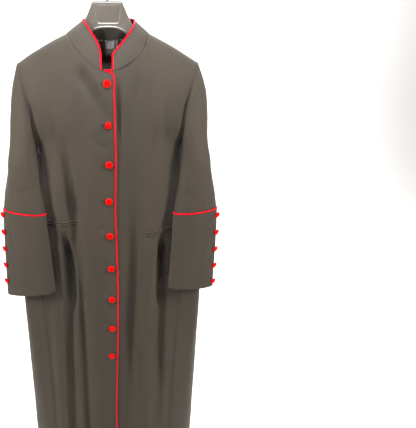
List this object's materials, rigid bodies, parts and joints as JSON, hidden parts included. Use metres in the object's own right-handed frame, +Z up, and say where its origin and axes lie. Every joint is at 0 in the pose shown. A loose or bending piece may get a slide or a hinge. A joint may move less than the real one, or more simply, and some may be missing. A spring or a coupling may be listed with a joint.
{
  "type": "clergy robe on a coat hanger",
  "caption": "Long black robe with a stand collar, red piping, covered buttons, deep cuffs, jetted pockets and red-backed pleats, hung open at neck, hem and cuffs on a plastic hanger.",
  "frame": {"origin": "the inside top of the hook's crook, where the hanger bears on a rail", "axes": "+Z up along the robe, -Y towards the robe's front, +X towards the wearer's left"},
  "size_m": [0.6808, 0.1895, 1.5716],
  "materials": {
    "suiting": "matte black suiting",
    "welt": "matte black suiting",
    "red_satin": "satin",
    "red_piping": "satin",
    "red_button": "satin-covered",
    "lining": "satin lining",
    "label": "woven, bare",
    "hanger_plastic": "glossy smoke grey",
    "hook_metal": "bright plated"
  },
  "bodies": {
    "root": {"front_right": "suiting", "front_left": "suiting", "back_bodice": "suiting", "side_back_left": "suiting", "side_back_right": "suiting", "centre_back_left": "suiting", "centre_back_right": "suiting", "collar_left": "suiting", "collar_right": "suiting", "top_sleeve_left": "suiting", "top_sleeve_right": "suiting", "under_sleeve_left": "suiting", "under_sleeve_right": "suiting", "cuff_left": "suiting", "cuff_right": "suiting", "pocket_left_welt_upper": "welt", "pocket_left_welt_lower": "welt", "pocket_right_welt_upper": "welt", "pocket_right_welt_lower": "welt", "pleat_underlay_left": "red_satin", "pleat_underlay_centre": "red_satin", "pleat_underlay_right": "red_satin", "front_edge_piping": "red_piping", "collar_piping": "red_piping", "left_neck_piping": "red_piping", "cuff_piping_left": "red_piping", "cuff_piping_right": "red_piping", "button_1": "red_button", "button_2": "red_button", "button_3": "red_button", "button_4": "red_button", "button_5": "red_button", "button_6": "red_button", "button_7": "red_button", "button_8": "red_button", "button_9": "red_button", "cuff_left_button_1": "red_button", "cuff_left_button_2": "red_button", "cuff_left_button_3": "red_button", "cuff_left_button_4": "red_button", "cuff_left_button_5": "red_button", "cuff_right_button_1": "red_button", "cuff_right_button_2": "red_button", "cuff_right_button_3": "red_button", "cuff_right_button_4": "red_button", "cuff_right_button_5": "red_button", "neck_lining": "lining", "neck_label": "label", "hanger_body": "hanger_plastic", "hanger_hook": "hook_metal"}
  },
  "joints": []
}
